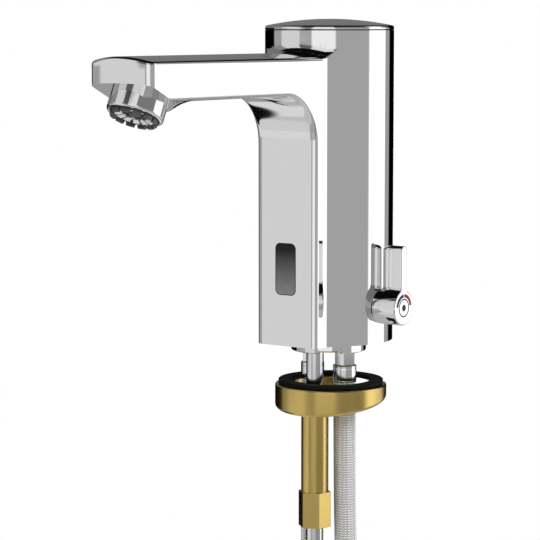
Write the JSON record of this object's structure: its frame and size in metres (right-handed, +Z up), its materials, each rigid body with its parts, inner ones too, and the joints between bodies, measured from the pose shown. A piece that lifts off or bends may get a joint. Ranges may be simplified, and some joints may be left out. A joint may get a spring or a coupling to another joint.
{
  "type": "basin mixer tap",
  "caption": "Touch-free deck-mounted basin mixer: round column, flat arched spout with slanted aerator, side temperature lever, stud clamp and braided hoses.",
  "frame": {"origin": "on the column's axis in the plane of the deck, where the centring spigot starts", "axes": "+Z up along the column, -Y along the spout towards the user, +X towards the temperature lever"},
  "size_m": [0.0708, 0.1754, 0.4858],
  "materials": {
    "chrome": "polished plating",
    "satin_brass": "satin, as machined",
    "bright_steel": "zinc plated",
    "black_rubber": "matt",
    "sensor_glass": "polished dark filter",
    "black_plastic": "moulded",
    "white_plastic": "moulded",
    "grey_plastic": "moulded",
    "red_mark": "glossy",
    "blue_mark": "glossy",
    "ceramic": "lapped",
    "copper_winding": "enamelled",
    "battery_wrap": "film wrapped",
    "diode_lens": "clear dark",
    "steel_braid": "woven wire"
  },
  "bodies": {
    "body": {"aerator_housing": "chrome", "aerator_insert": "grey_plastic", "aerator_washer": "black_rubber", "base_ring": "chrome", "base_seal": "black_rubber", "battery": "battery_wrap", "battery_contacts": "bright_steel", "battery_holder": "black_plastic", "body_shell": "chrome", "cap_seal": "black_rubber", "cartridge_gasket": "black_rubber", "cartridge_housing": "white_plastic", "cartridge_nut": "satin_brass", "control_module": "black_plastic", "disc_fixed": "ceramic", "ferrules_cold": "chrome", "ferrules_hot": "chrome", "hose_cold": "steel_braid", "hose_hot": "steel_braid", "lever_sleeve": "chrome", "limiter_ring": "red_mark", "manifold": "satin_brass", "nipple_cold": "chrome", "nipple_hot": "chrome", "outlet_tube": "white_plastic", "plunger_spring": "bright_steel", "plunger_tube": "bright_steel", "sensor_diodes": "diode_lens", "sensor_housing": "black_plastic", "sensor_window": "sensor_glass", "solenoid_coil": "copper_winding", "solenoid_yoke": "bright_steel", "spindle_bush": "white_plastic", "spindle_seal": "black_rubber", "stud": "bright_steel", "top_cap": "chrome", "tube_seal": "black_rubber", "union_tail_cold": "chrome", "union_tail_hot": "chrome", "union_washer_cold": "black_rubber", "union_washer_hot": "black_rubber", "valve_body": "white_plastic", "valve_bonnet": "white_plastic", "valve_diaphragm": "black_rubber"},
    "lever": {"lever_handle": "chrome", "lever_screw": "bright_steel", "marker_blue": "blue_mark", "marker_red": "red_mark", "spindle": "satin_brass", "disc_moving": "ceramic"},
    "plunger": {"plunger": "bright_steel", "pilot_seal": "black_rubber"},
    "clamp": {"clamp_flange": "satin_brass", "flange_gasket": "black_rubber"},
    "nut": {"sleeve_nut": "satin_brass"},
    "union_hot": {"union_nut_hot": "chrome"},
    "union_cold": {"union_nut_cold": "chrome"}
  },
  "joints": [
    {"name": "lever_turn", "type": "hinge", "parent": "body", "child": "lever", "pos_m": [0.0337, 0, 0.0163], "axis": [1, 0, 0], "range_deg": [-45, 45]},
    {"name": "plunger_lift", "type": "slide", "parent": "body", "child": "plunger", "axis": [0, 0, 1], "range_m": [0, 0.0015], "stiffness_N_per_m": 150, "springref_m": -0.006, "deforming": ["plunger_spring"]},
    {"name": "clamp_slide", "type": "slide", "parent": "body", "child": "clamp", "axis": [0, 0, 1], "range_m": [0, 0.0135]},
    {"name": "nut_spin", "type": "hinge", "parent": "clamp", "child": "nut", "pos_m": [0, -0.0107, -0.06], "axis": [0, 0, 1], "range_deg": [0, 3900]},
    {"name": "union_hot_spin", "type": "hinge", "parent": "body", "child": "union_hot", "pos_m": [-0.02, 0.002, -0.3348], "axis": [0, 0, 1], "continuous": true},
    {"name": "union_cold_spin", "type": "hinge", "parent": "body", "child": "union_cold", "pos_m": [0.02, 0.002, -0.3348], "axis": [0, 0, 1], "continuous": true}
  ],
  "couplings": [
    {"joint": "nut_spin", "follows": "clamp_slide", "rad_per_m": 5026.5}
  ]
}
